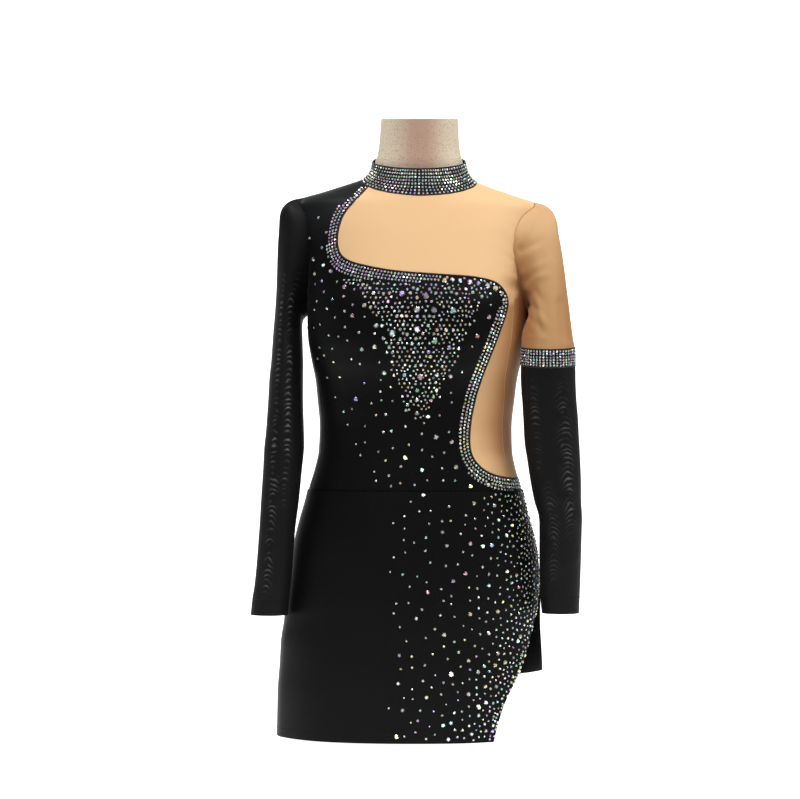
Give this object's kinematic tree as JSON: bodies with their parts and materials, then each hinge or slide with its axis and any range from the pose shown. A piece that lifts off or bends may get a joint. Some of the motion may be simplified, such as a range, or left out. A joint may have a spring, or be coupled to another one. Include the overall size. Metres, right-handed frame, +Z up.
{
  "type": "rhythmic gymnastics leotard on limbless dress form",
  "caption": "Long-sleeved gymnastics leotard with an S-curved nude yoke, crystals and a slit, slanting skirt, on a limbless dress form with rods and a round base.",
  "frame": {"origin": "at floor level under the neck, on the underside of the stand's base", "axes": "+Z up, -Y towards the front of the garment, +X towards the wearer's left"},
  "size_m": [0.4084, 0.2223, 0.7803],
  "materials": {
    "black_jersey": "matt stretch jersey",
    "black_mesh": "fine opaque-looking mesh",
    "nude_jersey": "smooth stretch jersey with a soft sheen",
    "crystal_band": "jersey closely covered with crystals",
    "form_cover": "plain woven cover, lightly flecked",
    "stand_metal": "satin"
  },
  "bodies": {
    "root": {"bodice_back_black": "black_jersey", "bodice_back_nude_left": "nude_jersey", "bodice_back_nude_right": "nude_jersey", "bodice_front_black": "black_jersey", "bodice_front_nude": "nude_jersey", "brief_back": "black_jersey", "brief_front": "black_jersey", "collar": "crystal_band", "form_torso": "form_cover", "skirt_back": "black_jersey", "skirt_front": "black_jersey", "sleeve_left_band": "crystal_band", "sleeve_left_lower": "black_mesh", "sleeve_left_upper": "nude_jersey", "sleeve_right": "black_mesh", "stand_base": "stand_metal", "stand_rod_left": "stand_metal", "stand_rod_right": "stand_metal"}
  },
  "joints": []
}
